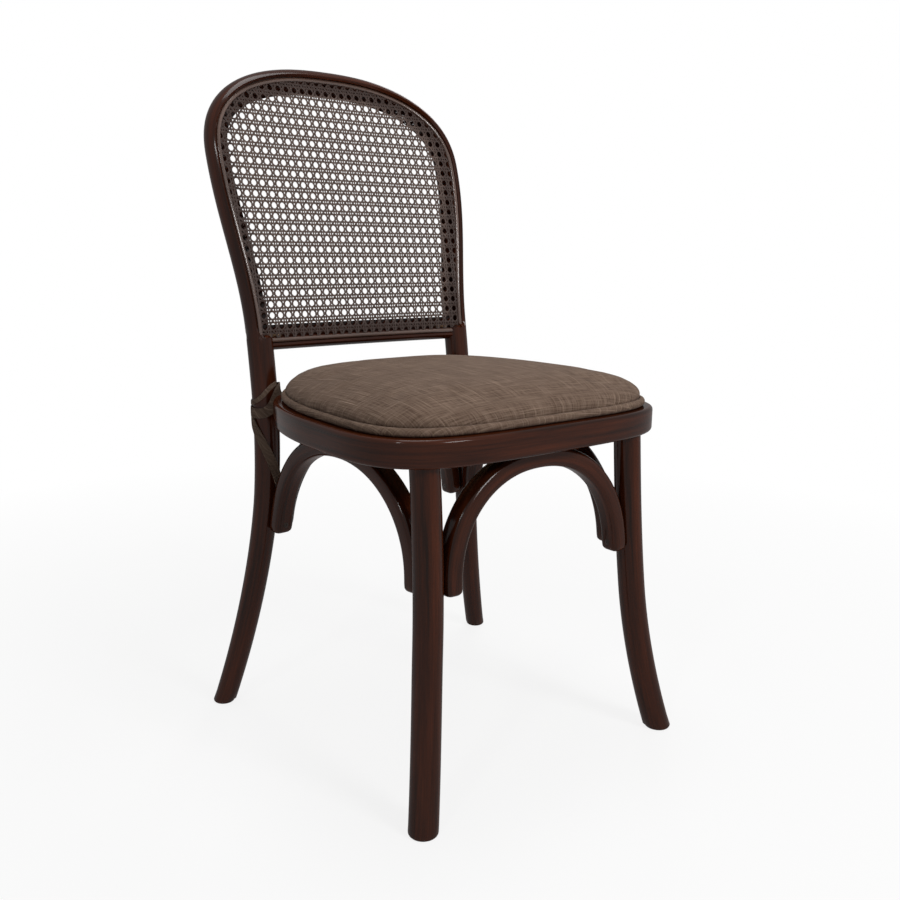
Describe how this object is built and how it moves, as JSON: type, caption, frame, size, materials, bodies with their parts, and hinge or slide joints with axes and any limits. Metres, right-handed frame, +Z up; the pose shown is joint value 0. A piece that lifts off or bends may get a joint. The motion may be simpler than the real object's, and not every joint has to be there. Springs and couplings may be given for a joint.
{
  "type": "dining chair",
  "caption": "Bentwood dining chair with a cane back in a bent hoop, a ring seat with a tied-on upholstered pad, and arch braces between the legs.",
  "frame": {"origin": "on the floor, at the middle of the chair's bounding box", "axes": "+Z up, -Y the way the sitter faces, +X the sitter's left"},
  "size_m": [0.5018, 0.5504, 0.89],
  "materials": {
    "walnut_lacquer": "dark walnut stain under satin lacquer",
    "stained_cane": "woven rattan cane, stained grey brown",
    "taupe_linen": "slubby taupe linen over a foam filling",
    "plywood": "plain plywood and beech dowel, hidden",
    "zinc_steel": "zinc plated, hidden under the frame"
  },
  "bodies": {
    "root": {"arch_front": "walnut_lacquer", "arch_front_screw_1": "zinc_steel", "arch_front_screw_2": "zinc_steel", "arch_front_screw_3": "zinc_steel", "arch_front_screw_4": "zinc_steel", "arch_front_screw_5": "zinc_steel", "arch_left": "walnut_lacquer", "arch_left_screw_1": "zinc_steel", "arch_left_screw_2": "zinc_steel", "arch_left_screw_3": "zinc_steel", "arch_left_screw_4": "zinc_steel", "arch_left_screw_5": "zinc_steel", "arch_rear": "walnut_lacquer", "arch_rear_screw_1": "zinc_steel", "arch_rear_screw_2": "zinc_steel", "arch_rear_screw_3": "zinc_steel", "arch_rear_screw_4": "zinc_steel", "arch_rear_screw_5": "zinc_steel", "arch_right": "walnut_lacquer", "arch_right_screw_1": "zinc_steel", "arch_right_screw_2": "zinc_steel", "arch_right_screw_3": "zinc_steel", "arch_right_screw_4": "zinc_steel", "arch_right_screw_5": "zinc_steel", "back_hoop": "walnut_lacquer", "back_rail": "walnut_lacquer", "cane_panel": "stained_cane", "cane_spline": "walnut_lacquer", "front_leg_left": "walnut_lacquer", "front_leg_right": "walnut_lacquer", "pad_piping": "taupe_linen", "pad_tie_left": "taupe_linen", "pad_tie_right": "taupe_linen", "rail_dowel_left": "plywood", "rail_dowel_right": "plywood", "ring_bolt_left": "zinc_steel", "ring_bolt_right": "zinc_steel", "seat_pad": "taupe_linen", "seat_panel": "plywood", "seat_ring": "walnut_lacquer"}
  },
  "joints": []
}
